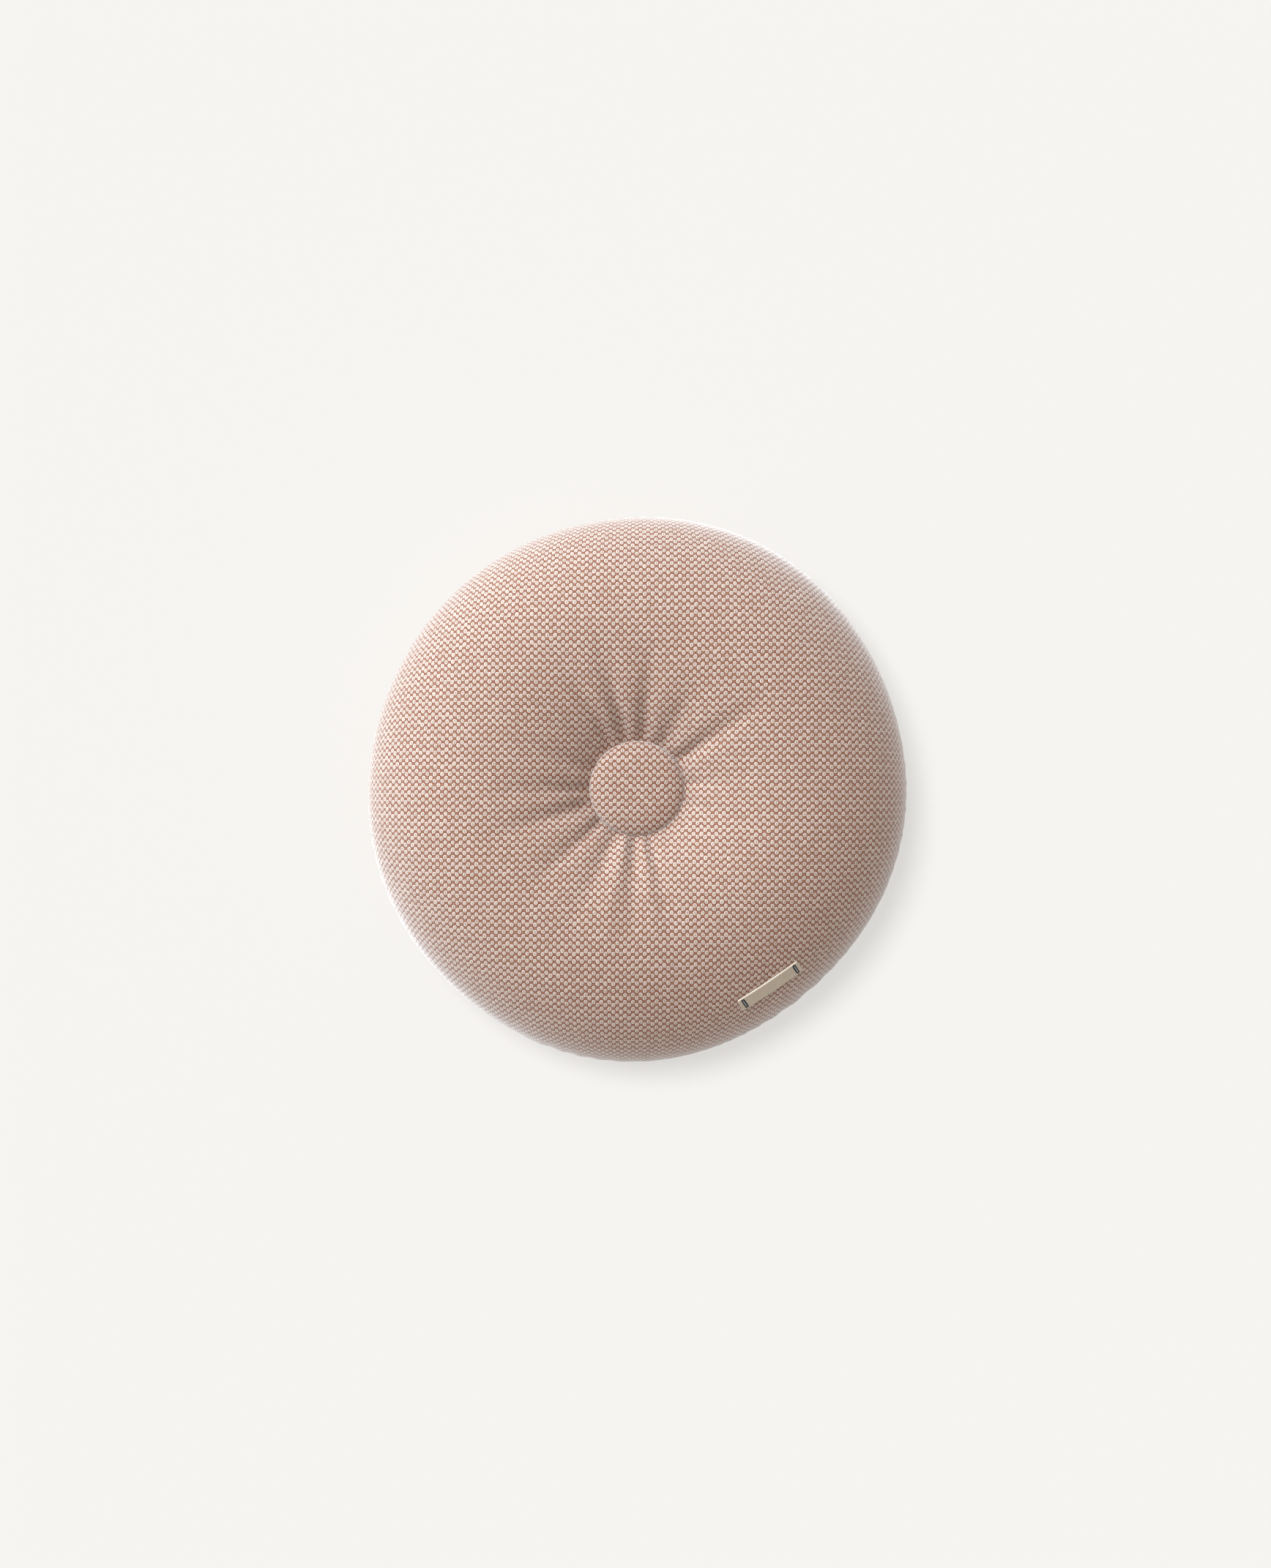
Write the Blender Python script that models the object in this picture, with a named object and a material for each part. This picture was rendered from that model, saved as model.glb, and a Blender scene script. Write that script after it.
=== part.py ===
"""Round button-tufted chair seat pad, modelled the way it is sewn and filled.

Two circular panels of woven cloth are sewn together round the edge and turned right side out. Inside
lie a foam core and two sheets of wadding. A twine through the middle ties a cloth-covered button on
top to a matching one underneath, which pulls the pad into a dimple on both faces. A short leather
label is stapled near the edge of the top face.

Metres, +Z up. The origin is on the surface that the pad lies on, under its middle. Every turned piece
shares the vertical axis through the origin, which is also the axis that the two buttons swivel on.
"""

import math

import bmesh
import bpy
from mathutils import Matrix, Vector

MM = 0.001

# Clearance and fineness
GAP = 0.3 * MM                  # between pieces that touch on the real pad
WELD = 0.001 * MM               # points closer than this are one point
PAD_STEPS = 36                  # facets round the pad
BUTTON_STEPS = 28               # facets round a button
ROUND_STEPS = 12                # facets round a drilled hole

# Outline of the pad, as the radius and height of its outer surface
PAD_RADIUS = 190.0 * MM         # at the sewn edge
SEAM_HEIGHT = 51.0 * MM         # height of the sewn edge, the widest ring of the pad
CREST_HEIGHT = 110.0 * MM       # highest ring of the top face
CREST_RADIUS = 98.0 * MM
TOP_SEAT_HEIGHT = 88.5 * MM     # cloth under the top button
FOOT_INNER_RADIUS = 75.0 * MM   # the pad rests on the flat ring between these two radii
FOOT_OUTER_RADIUS = 128.0 * MM
BOTTOM_SEAT_HEIGHT = 17.0 * MM  # cloth above the bottom button
SEAT_RADIUS = 33.3 * MM         # the cloth is flat under a button as far out as this
LOOP_HOLE_RADIUS = 5.5 * MM     # opening in the cloth that a button's wire loop goes through

# Cloth, seam and filling
CLOTH = 1.2 * MM
ALLOWANCE_HEIGHT = 9.0 * MM     # seam allowance, pressed upwards inside the top panel
FOLD_ROOM = 3.2 * MM            # between the top panel and its own turned-up allowance
THREAD_WALL = 0.5 * MM          # overlock stitching round the two raw edges
THREAD_REACH = 4.5 * MM         # how far the overlock reaches down each side
WADDING = 12.0 * MM
CORE_HOLE_RADIUS = 6.0 * MM     # way through the filling for the loops and the twine

# Covered button, measured from the plane that it sits on
BUTTON_RADIUS = 33.0 * MM
BUTTON_RIM_HEIGHT = 2.6 * MM    # height of its widest ring
BUTTON_RISE = 9.4 * MM          # from that ring to the top of the dome
DOME_SHARPNESS = 2.4            # 2 is an ellipse, more is a flatter top with a tighter edge
BUTTON_CLOTH = 1.0 * MM
SHELL_WALL = 0.8 * MM
HEM_RADIUS = 30.2 * MM          # the cloth is turned up inside the shell to this radius
HEM_HEIGHT = 4.0 * MM
PLATE_WALL = 0.8 * MM
PLATE_RIM_HEIGHT = 3.6 * MM
PLATE_HOLE_RADIUS = 4.2 * MM
LOOP_WIRE_RADIUS = 0.7 * MM
LOOP_HALF_WIDTH = 3.0 * MM
LOOP_STRAIGHT = 4.0 * MM        # from the seat plane to where the loop starts to turn
LOOP_FOOT_REACH = 8.0 * MM      # how far the wire's feet spread over the plate

# Tufting twine
TWINE_RADIUS = 0.9 * MM
TWINE_TURN_RADIUS = 2.4 * MM    # of the twine round a loop's wire
KNOT_HEIGHT = 36.0 * MM
KNOT_SWELL = (1.7, 2.3, 2.3, 1.7)   # times the twine's radius, along the knot
KNOT_PITCH = 1.1 * MM

# Label and its staples
LABEL_AZIMUTH = math.radians(-56.0)
LABEL_RADIUS = 167.0 * MM       # distance of the label's middle from the axis
LABEL_LENGTH = 50.0 * MM
LABEL_WIDTH = 10.0 * MM
LABEL_THICKNESS = 1.4 * MM
LABEL_CORNER = 1.0 * MM
STAPLE_INSET = 3.6 * MM         # from the label's end
STAPLE_WIRE_RADIUS = 0.45 * MM
STAPLE_HALF_WIDTH = 3.1 * MM
STAPLE_BEND = 0.8 * MM
STAPLE_DEPTH = 3.0 * MM         # of the clinched points below the pad's surface
STAPLE_TIP = 0.9 * MM           # half the space between the two clinched points
LEG_HOLE_RADIUS = 0.85 * MM
RECESS_DEPTH = 0.5 * MM
RECESS_HALF_WIDTH = 1.2 * MM
RECESS_HALF_LENGTH = 4.4 * MM


# ---------------------------------------------------------------- scene and materials

def clear_scene():
    for old in list(bpy.data.objects):
        bpy.data.objects.remove(old, do_unlink=True)


def material(name, colour, roughness, metallic=0.0):
    made = bpy.data.materials.new(name)
    made.use_nodes = True
    shader = made.node_tree.nodes["Principled BSDF"]
    shader.inputs["Base Color"].default_value = (*colour, 1.0)
    shader.inputs["Roughness"].default_value = roughness
    shader.inputs["Metallic"].default_value = metallic
    made.diffuse_color = (*colour, 1.0)
    return made


def cover_cloth(name):
    return material(name, (0.56, 0.39, 0.32), 0.9)


def sewing_thread(name):
    return material(name, (0.62, 0.45, 0.38), 0.8)


def polyester_wadding(name):
    return material(name, (0.90, 0.89, 0.86), 1.0)


def foam(name):
    return material(name, (0.88, 0.82, 0.62), 0.95)


def zinc_plate(name):
    return material(name, (0.66, 0.67, 0.68), 0.35, 1.0)


def steel_wire(name):
    return material(name, (0.50, 0.53, 0.57), 0.3, 1.0)


def waxed_twine(name):
    return material(name, (0.80, 0.74, 0.64), 0.7)


def leather(name):
    return material(name, (0.47, 0.39, 0.31), 0.6)


# ---------------------------------------------------------------- shared makers

def link(name, data, surface):
    made = bpy.data.objects.new(name, data)
    data.materials.append(surface)
    bpy.context.scene.collection.objects.link(made)
    return made


def mesh_from(bm, name):
    bmesh.ops.recalc_face_normals(bm, faces=bm.faces)
    mesh = bpy.data.meshes.new(name)
    bm.to_mesh(mesh)
    bm.free()
    mesh.shade_smooth()
    mesh.set_sharp_from_angle(angle=math.radians(35.0))
    return mesh


def turned(name, outline, steps, surface):
    """Turns a closed outline of (radius, height) points about the Z axis."""
    bm = bmesh.new()
    ring = [bm.verts.new((radius, 0.0, height)) for radius, height in outline]
    edges = [bm.edges.new(pair) for pair in zip(ring, ring[1:])]
    if outline[0][0] > WELD or outline[-1][0] > WELD:
        edges.append(bm.edges.new((ring[-1], ring[0])))
    bmesh.ops.spin(
        bm,
        geom=ring + edges,
        cent=(0.0, 0.0, 0.0),
        axis=(0.0, 0.0, 1.0),
        angle=2.0 * math.pi,
        steps=steps,
        use_duplicate=False,
    )
    bmesh.ops.remove_doubles(bm, verts=bm.verts, dist=WELD)
    return link(name, mesh_from(bm, name), surface)


def wire(name, points, radius, sides, surface, closed=False, swell=None):
    """A round wire or strand through points, with flat capped ends unless it closes on itself."""
    curve = bpy.data.curves.new(name, "CURVE")
    curve.dimensions = "3D"
    curve.bevel_depth = radius
    curve.bevel_resolution = sides // 2 - 2
    curve.use_fill_caps = True
    spline = curve.splines.new("POLY")
    spline.points.add(len(points) - 1)
    for index, (point, place) in enumerate(zip(spline.points, points)):
        point.co = (*place, 1.0)
        point.radius = swell[index] if swell else 1.0
    spline.use_cyclic_u = closed
    return link(name, curve, surface)


def prism(bm, outline, low, high):
    """Adds a closed upright prism of (x, y) points between two heights."""
    bottom = bm.faces.new([bm.verts.new((x, y, low)) for x, y in outline])
    grown = bmesh.ops.extrude_face_region(bm, geom=[bottom])
    moved = [item for item in grown["geom"] if isinstance(item, bmesh.types.BMVert)]
    bmesh.ops.translate(bm, verts=moved, vec=(0.0, 0.0, high - low))


def cutter(name, bm, target):
    """Takes the shape in bm out of target. The cutter itself is hidden and is no part of the pad."""
    tool = bpy.data.objects.new(name, mesh_from(bm, name))
    tool.hide_render = True
    tool.display_type = "WIRE"
    bpy.context.scene.collection.objects.link(tool)
    cut = target.modifiers.new(name, "BOOLEAN")
    cut.operation = "DIFFERENCE"
    cut.object = tool
    return tool


def axis_empty(name, height, flipped):
    """An empty on the pad's axis. Flipped, its own up points down."""
    made = bpy.data.objects.new(name, None)
    made.location = (0.0, 0.0, height)
    made.rotation_euler = (math.pi if flipped else 0.0, 0.0, 0.0)
    bpy.context.scene.collection.objects.link(made)
    return made


# ---------------------------------------------------------------- outline of the pad

def quarter(start_radius, end_radius, start_height, end_height, degrees):
    """Points on a quarter ellipse that leaves level at the start and arrives upright at the end."""
    points = []
    for angle in degrees:
        turn = math.radians(angle)
        radius = start_radius + (end_radius - start_radius) * math.sin(turn)
        height = end_height + (start_height - end_height) * math.cos(turn)
        points.append((radius, height))
    return points


def dimple(level_radius, level_height, seat_height, shares):
    """Points on the parabola from a button's seat out to the radius where the face is level."""
    points = []
    for share in shares:
        radius = SEAT_RADIUS + (level_radius - SEAT_RADIUS) * share
        height = level_height + (seat_height - level_height) * (1.0 - share) ** 2
        points.append((radius, height))
    return points


def top_face(hole_radius):
    """Outer surface of the top face, from the middle hole out to the sewn edge."""
    seat = [(hole_radius, TOP_SEAT_HEIGHT)]
    slope = dimple(CREST_RADIUS, CREST_HEIGHT, TOP_SEAT_HEIGHT, (0.0, 0.18, 0.42, 0.7))
    side = quarter(
        CREST_RADIUS, PAD_RADIUS, CREST_HEIGHT, SEAM_HEIGHT, (0, 17, 33, 48, 62, 76, 90)
    )
    return seat + slope + side


def bottom_face(hole_radius):
    """Outer surface of the bottom face, from the middle hole out to the sewn edge."""
    seat = [(hole_radius, BOTTOM_SEAT_HEIGHT)]
    slope = dimple(FOOT_INNER_RADIUS, 0.0, BOTTOM_SEAT_HEIGHT, (0.0, 0.3, 0.62, 1.0))
    side = quarter(
        FOOT_OUTER_RADIUS, PAD_RADIUS, 0.0, SEAM_HEIGHT - GAP, (0, 20, 38, 55, 72, 90)
    )
    return seat + slope + side


def shifted(points, distance, side):
    """The same run of points moved into the pad by distance. side is 1 on the top face, -1 below."""
    moved = []
    last = len(points) - 1
    for index, (radius, height) in enumerate(points):
        before = Vector(points[max(index - 1, 0)])
        after = Vector(points[min(index + 1, last)])
        here = Vector((radius, height))
        normals = []
        for start, end in ((before, here), (here, after)):
            run = end - start
            if run.length > WELD:
                run.normalize()
                normals.append(Vector((-run.y, run.x)) * side)
        outward = sum(normals, Vector((0.0, 0.0))).normalized()
        stretch = 1.0 / outward.dot(normals[0])
        place = here - outward * distance * stretch
        moved.append((place.x, place.y))
    moved[0] = (points[0][0], moved[0][1])
    moved[-1] = (points[-1][0] - distance, points[-1][1])
    return moved


def within_radius(points, limit):
    """The run of points as far out as the limit, where its last straight stretch is cut off."""
    kept = []
    for start, end in zip(points, points[1:]):
        kept.append(start)
        if end[0] > limit:
            share = (limit - start[0]) / (end[0] - start[0])
            kept.append((limit, start[1] + (end[1] - start[1]) * share))
            return kept
    return kept + [points[-1]]


# ---------------------------------------------------------------- cover

def seam_radii():
    """Radii of the turned-up allowances, from the outside in: top outer, top inner, bottom outer,
    bottom inner."""
    top_outer = PAD_RADIUS - CLOTH - FOLD_ROOM
    top_inner = top_outer - CLOTH
    bottom_outer = top_inner - GAP
    bottom_inner = bottom_outer - CLOTH
    return top_outer, top_inner, bottom_outer, bottom_inner


def top_cover():
    """Top panel. At the sewn edge it turns in and runs back up inside as its seam allowance."""
    outer = top_face(LOOP_HOLE_RADIUS)
    inner = shifted(outer, CLOTH, 1)
    allowance_outer, allowance_inner, _, _ = seam_radii()
    end = SEAM_HEIGHT + ALLOWANCE_HEIGHT
    fold = [
        (allowance_inner, SEAM_HEIGHT),
        (allowance_inner, end),
        (allowance_outer, end),
        (allowance_outer, SEAM_HEIGHT + CLOTH),
        (PAD_RADIUS - CLOTH, SEAM_HEIGHT + CLOTH),
    ]
    outline = outer + fold + inner[-2::-1]
    return turned("top_cover", outline, PAD_STEPS, cover_cloth("top_cover_cloth"))


def bottom_cover():
    """Bottom panel. It steps in under the top panel's fold and runs up inside as its allowance."""
    outer = bottom_face(LOOP_HOLE_RADIUS)
    inner = shifted(outer, CLOTH, -1)
    _, _, allowance_outer, allowance_inner = seam_radii()
    top = SEAM_HEIGHT - GAP
    end = SEAM_HEIGHT + ALLOWANCE_HEIGHT
    step = [
        (allowance_outer, top),
        (allowance_outer, end),
        (allowance_inner, end),
        (allowance_inner, top - CLOTH),
        (PAD_RADIUS - CLOTH, top - CLOTH),
    ]
    outline = outer + step + inner[-2::-1]
    return turned("bottom_cover", outline, PAD_STEPS, cover_cloth("bottom_cover_cloth"))


def seam_thread():
    """Overlock stitching that wraps both raw edges and holds the panels together."""
    top_outer, _, _, bottom_inner = seam_radii()
    top = SEAM_HEIGHT + ALLOWANCE_HEIGHT + GAP
    foot = top - THREAD_REACH
    outside = top_outer + GAP
    inside = bottom_inner - GAP
    outline = [
        (inside - THREAD_WALL, top + THREAD_WALL),
        (outside + THREAD_WALL, top + THREAD_WALL),
        (outside + THREAD_WALL, foot),
        (outside, foot),
        (outside, top),
        (inside, top),
        (inside, foot),
        (inside - THREAD_WALL, foot),
    ]
    return turned("seam_thread", outline, PAD_STEPS, sewing_thread("overlock_thread"))


# ---------------------------------------------------------------- filling

def filling_edge():
    """The filling stops short of this radius, which leaves room for the seam."""
    _, _, _, bottom_inner = seam_radii()
    return bottom_inner - 2.0 * GAP - THREAD_WALL


def wadding(name, face, side):
    """One sheet of wadding over the core: its outer face follows the cloth, its inner face the core."""
    middle = SEAM_HEIGHT + side * 0.5 * GAP
    outer = shifted(face, CLOTH + GAP, side)
    inner = shifted(face, CLOTH + GAP + WADDING, side)
    limit = filling_edge()
    outer = within_radius(outer, limit)
    outer.append((limit, middle))
    inner[-1] = (inner[-1][0], middle)
    outline = outer + inner[::-1]
    return turned(name, outline, PAD_STEPS, polyester_wadding(name + "_fibre"))


def foam_core():
    """Foam disc with rounded edges, pulled thinner in the middle by the twine."""
    depth = CLOTH + WADDING + 2.0 * GAP
    upper = shifted(top_face(CORE_HOLE_RADIUS), depth, 1)
    lower = shifted(bottom_face(CORE_HOLE_RADIUS), depth, -1)
    outline = upper + lower[-2::-1]
    return turned("foam_core", outline, PAD_STEPS, foam("core_foam"))


# ---------------------------------------------------------------- covered buttons

def dome(inset, degrees=(0, 24, 42, 56, 68, 80, 90)):
    """Points on a button's dome from the axis out to its widest ring, inset from the outside."""
    power = 2.0 / DOME_SHARPNESS
    points = []
    for angle in degrees:
        turn = math.radians(angle)
        radius = (BUTTON_RADIUS - inset) * math.sin(turn) ** power
        height = BUTTON_RIM_HEIGHT + (BUTTON_RISE - inset) * max(math.cos(turn), 0.0) ** power
        points.append((radius, height))
    points[-1] = (BUTTON_RADIUS - inset, BUTTON_RIM_HEIGHT)
    return points


def button_cap(prefix):
    """Cloth of the button: over the dome, round the rim and up inside the shell as a hem."""
    turned_in = HEM_RADIUS - BUTTON_CLOTH
    under = [
        (BUTTON_RADIUS - 0.5 * MM, 0.9 * MM),
        (BUTTON_RADIUS - 1.7 * MM, 0.0),
        (turned_in + 0.6 * MM, 0.0),
        (turned_in, 0.6 * MM),
        (turned_in, HEM_HEIGHT),
        (HEM_RADIUS, HEM_HEIGHT),
        (HEM_RADIUS, BUTTON_CLOTH + 0.1 * MM),
        (BUTTON_RADIUS - BUTTON_CLOTH - 0.3 * MM, BUTTON_CLOTH + 0.2 * MM),
    ]
    outline = dome(0.0) + under + dome(BUTTON_CLOTH)[::-1]
    return turned(prefix + "_cap", outline, BUTTON_STEPS, cover_cloth(prefix + "_cloth"))


def button_shell(prefix):
    """Stamped steel dome under the cloth."""
    outer_inset = BUTTON_CLOTH + GAP
    inner_inset = outer_inset + SHELL_WALL
    edge = 1.8 * MM
    rim = [(BUTTON_RADIUS - outer_inset, edge), (BUTTON_RADIUS - inner_inset, edge)]
    outline = dome(outer_inset) + rim + dome(inner_inset)[::-1]
    return turned(prefix + "_shell", outline, BUTTON_STEPS, zinc_plate(prefix + "_shell_zinc"))


def button_back_plate(prefix):
    """Dished plate pressed into the shell. Its rim clamps the hem of the cloth."""
    rim = HEM_RADIUS - BUTTON_CLOTH - GAP
    low = 0.4 * MM
    outline = [
        (PLATE_HOLE_RADIUS, low),
        (rim, low),
        (rim, PLATE_RIM_HEIGHT),
        (rim - PLATE_WALL, PLATE_RIM_HEIGHT),
        (rim - PLATE_WALL, low + PLATE_WALL),
        (PLATE_HOLE_RADIUS, low + PLATE_WALL),
    ]
    return turned(prefix + "_back_plate", outline, BUTTON_STEPS, zinc_plate(prefix + "_back_zinc"))


def button_wire_loop(prefix):
    """Wire eye: two feet on the inside of the plate, and a loop out through its hole."""
    foot_height = 0.4 * MM + PLATE_WALL + GAP + LOOP_WIRE_RADIUS
    half = LOOP_HALF_WIDTH
    side = [(LOOP_FOOT_REACH, foot_height), (half + 0.9 * MM, foot_height)]
    side += [(half + 0.2 * MM, foot_height - 0.3 * MM), (half, foot_height - 1.0 * MM)]
    right = [(x, 0.0, z) for x, z in side]
    turn = []
    for step in range(7):
        angle = math.pi * step / 6.0
        turn.append((half * math.cos(angle), 0.0, -LOOP_STRAIGHT - half * math.sin(angle)))
    left = [(-x, y, z) for x, y, z in reversed(right)]
    surface = steel_wire(prefix + "_loop_steel")
    return wire(prefix + "_wire_loop", right + turn + left, LOOP_WIRE_RADIUS, 8, surface)


def covered_button(prefix, seat_height, flipped):
    """The four pieces of one button, hung on an empty whose origin is on the swivel axis."""
    mount = axis_empty(prefix + "_axis", seat_height, flipped)
    for maker in (button_cap, button_shell, button_back_plate, button_wire_loop):
        maker(prefix).parent = mount


def tufting_twine():
    """One closed length of twine through both wire loops, drawn tight and knotted."""
    reach = LOOP_STRAIGHT + LOOP_HALF_WIDTH
    upper = TOP_SEAT_HEIGHT + GAP - reach
    lower = BOTTOM_SEAT_HEIGHT - GAP + reach
    turn = TWINE_TURN_RADIUS
    points = []
    swell = []
    for step in range(9):
        angle = math.pi * step / 8.0
        points.append((0.0, turn * math.cos(angle), upper + turn * math.sin(angle)))
        swell.append(1.0)
    for step in range(9):
        angle = math.pi * step / 8.0
        points.append((0.0, -turn * math.cos(angle), lower - turn * math.sin(angle)))
        swell.append(1.0)
    knot = [(KNOT_HEIGHT - KNOT_PITCH * 2.0, 1.0)]
    knot += [(KNOT_HEIGHT + KNOT_PITCH * (i - 1), size) for i, size in enumerate(KNOT_SWELL)]
    knot.append((KNOT_HEIGHT + KNOT_PITCH * 4.0, 1.0))
    for height, size in knot:
        points.append((0.0, turn, height))
        swell.append(size)
    surface = waxed_twine("waxed_twine")
    return wire("tufting_twine", points, TWINE_RADIUS, 8, surface, closed=True, swell=swell)


# ---------------------------------------------------------------- label and staples

def label_frame():
    """Place on the top face under the label's middle: its matrix and the surface's bend along it.

    X runs along the label, Y up the slope towards the button, Z straight out of the cloth."""
    width = PAD_RADIUS - CREST_RADIUS
    rise = CREST_HEIGHT - SEAM_HEIGHT
    sine = (LABEL_RADIUS - CREST_RADIUS) / width
    cosine = math.sqrt(1.0 - sine * sine)
    slope = math.atan(rise * sine / (width * cosine))
    outward = Vector((math.cos(LABEL_AZIMUTH), math.sin(LABEL_AZIMUTH), 0.0))
    up = Vector((0.0, 0.0, 1.0))
    along = up.cross(outward)
    normal = outward * math.sin(slope) + up * math.cos(slope)
    across = normal.cross(along)
    turn = Matrix((along, across, normal)).transposed().to_4x4()
    place = Matrix.Translation(outward * LABEL_RADIUS + up * (SEAM_HEIGHT + rise * cosine))
    bend = math.sin(slope) / LABEL_RADIUS
    return place @ turn, bend


def stadium(half_length, half_width):
    """Outline of a slot with round ends that runs along Y."""
    points = []
    straight = half_length - half_width
    for centre, start in ((straight, 0.0), (-straight, math.pi)):
        for step in range(7):
            angle = start + math.pi * step / 6.0
            points.append((half_width * math.cos(angle), centre + half_width * math.sin(angle)))
    return points


def circle(x, y, radius):
    points = []
    for step in range(ROUND_STEPS):
        angle = 2.0 * math.pi * step / ROUND_STEPS
        points.append((x + radius * math.cos(angle), y + radius * math.sin(angle)))
    return points


def label_strip(bend):
    """Leather strip with clipped round corners, bent to lie on the pad."""
    half_length = LABEL_LENGTH / 2.0
    half_width = LABEL_WIDTH / 2.0
    ends = [
        (half_length, half_width - LABEL_CORNER),
        (half_length - 0.3 * LABEL_CORNER, half_width - 0.3 * LABEL_CORNER),
        (half_length - LABEL_CORNER, half_width),
    ]
    body = [(half_length * share, half_width) for share in (0.8, 0.55, 0.3, 0.0)]
    right = ends + body
    stations = [(-x, y) for x, y in right] + right[-2::-1]
    bm = bmesh.new()
    rings = []
    for x, reach in stations:
        drop = bend * x * x / 2.0
        low = GAP - drop
        high = low + LABEL_THICKNESS
        corners = ((-reach, low), (reach, low), (reach, high), (-reach, high))
        rings.append([bm.verts.new((x, y, z)) for y, z in corners])
    for near, far in zip(rings, rings[1:]):
        for index in range(4):
            after = (index + 1) % 4
            bm.faces.new((near[index], far[index], far[after], near[after]))
    bm.faces.new(rings[0])
    bm.faces.new(rings[-1])
    return link("label_strip", mesh_from(bm, "label_strip"), leather("label_leather"))


def staple(name):
    """Round wire staple: crown across the label, two legs, and points clinched under the cloth."""
    crown = GAP + LABEL_THICKNESS - RECESS_DEPTH + GAP + STAPLE_WIRE_RADIUS
    half = STAPLE_HALF_WIDTH
    bend = STAPLE_BEND
    low = -STAPLE_DEPTH
    side = [
        (STAPLE_TIP, low),
        (half - bend, low),
        (half - 0.3 * bend, low + 0.3 * bend),
        (half, low + bend),
        (half, crown - bend),
        (half - 0.3 * bend, crown - 0.3 * bend),
        (half - bend, crown),
    ]
    right = [(0.0, y, z) for y, z in side]
    left = [(0.0, -y, z) for y, z in reversed(side)]
    return wire(name, right + left, STAPLE_WIRE_RADIUS, 8, steel_wire(name + "_steel"))


def staple_openings(x, strip, cloth, fibre, mount, place, turn):
    """Cuts one staple's recess and leg holes, and the pocket that its points press in the wadding."""
    top = GAP + LABEL_THICKNESS
    legs = bmesh.new()
    for y in (-STAPLE_HALF_WIDTH, STAPLE_HALF_WIDTH):
        prism(legs, circle(0.0, y, LEG_HOLE_RADIUS), -STAPLE_DEPTH - 1.5 * MM, top + 2.0 * MM)
    recess = bmesh.new()
    prism(recess, stadium(RECESS_HALF_LENGTH, RECESS_HALF_WIDTH), top - RECESS_DEPTH, top + 2.0 * MM)
    pocket = bmesh.new()
    deep = -STAPLE_DEPTH - STAPLE_WIRE_RADIUS - GAP
    prism(pocket, stadium(RECESS_HALF_LENGTH, RECESS_HALF_WIDTH), deep, 0.5 * MM)
    tag = "left" if x < 0.0 else "right"
    tools = [
        cutter("recess_" + tag, recess, strip),
        cutter("leg_holes_" + tag, legs, strip),
        cutter("pocket_" + tag, pocket, fibre),
    ]
    through_cloth = cloth.modifiers.new("leg_holes_" + tag, "BOOLEAN")
    through_cloth.operation = "DIFFERENCE"
    through_cloth.object = tools[1]
    for tool in tools:
        tool.parent = mount
        tool.location = place
        tool.rotation_euler = turn


def label(cloth, fibre):
    """The label and its two staples, hung on an empty that lies on the slope of the top face."""
    matrix, bend = label_frame()
    mount = bpy.data.objects.new("label_place", None)
    mount.matrix_world = matrix
    bpy.context.scene.collection.objects.link(mount)
    strip = label_strip(bend)
    strip.parent = mount
    reach = LABEL_LENGTH / 2.0 - STAPLE_INSET
    for name, x in (("left_staple", -reach), ("right_staple", reach)):
        place = (x, 0.0, -bend * x * x / 2.0)
        turn = (0.0, math.atan(bend * x), 0.0)
        held = staple(name)
        held.parent = mount
        held.location = place
        held.rotation_euler = turn
        staple_openings(x, strip, cloth, fibre, mount, place, turn)


# ---------------------------------------------------------------- the pad

def build():
    clear_scene()
    cloth = top_cover()
    bottom_cover()
    seam_thread()
    fibre = wadding("top_wadding", top_face(CORE_HOLE_RADIUS), 1)
    wadding("bottom_wadding", bottom_face(CORE_HOLE_RADIUS), -1)
    foam_core()
    covered_button("top_button", TOP_SEAT_HEIGHT + GAP, False)
    covered_button("bottom_button", BOTTOM_SEAT_HEIGHT - GAP, True)
    tufting_twine()
    label(cloth, fibre)


build()
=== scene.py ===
"""Looks of the round button-tufted seat pad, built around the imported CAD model.

Each face of the pad is a polar grid of cloth. It is pulled into folds round its button, and then both
are swelled together by cloth simulation. The weave is a procedural material that follows the flat
cloth each panel was cut from.
"""

import math

import bmesh
import bpy
import numpy as np
from mathutils import Matrix, Vector
from mathutils.bvhtree import BVHTree


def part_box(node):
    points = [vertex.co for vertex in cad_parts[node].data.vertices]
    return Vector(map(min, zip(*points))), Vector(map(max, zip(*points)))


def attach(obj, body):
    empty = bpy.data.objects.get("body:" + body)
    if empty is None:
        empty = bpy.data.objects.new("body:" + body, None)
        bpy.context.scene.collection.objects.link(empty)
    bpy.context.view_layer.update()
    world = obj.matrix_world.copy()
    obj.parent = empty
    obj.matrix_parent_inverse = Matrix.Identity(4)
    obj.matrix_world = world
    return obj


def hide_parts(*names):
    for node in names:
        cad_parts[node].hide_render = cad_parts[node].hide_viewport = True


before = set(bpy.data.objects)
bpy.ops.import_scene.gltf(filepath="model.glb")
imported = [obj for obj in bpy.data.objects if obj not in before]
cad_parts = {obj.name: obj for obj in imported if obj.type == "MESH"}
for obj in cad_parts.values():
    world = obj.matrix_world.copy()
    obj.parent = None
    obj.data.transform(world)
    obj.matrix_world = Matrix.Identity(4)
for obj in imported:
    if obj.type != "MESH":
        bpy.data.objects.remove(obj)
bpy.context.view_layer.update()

MM = 0.001

# ---------------------------------------------------------------- sizes, from the frame

TOP_LOW, TOP_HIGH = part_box("top_cover")
CAP_LOW, CAP_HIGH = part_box("top_button_cap")
_, UNDER_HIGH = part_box("bottom_button_cap")
LABEL_LOW, LABEL_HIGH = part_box("label_strip")

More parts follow.
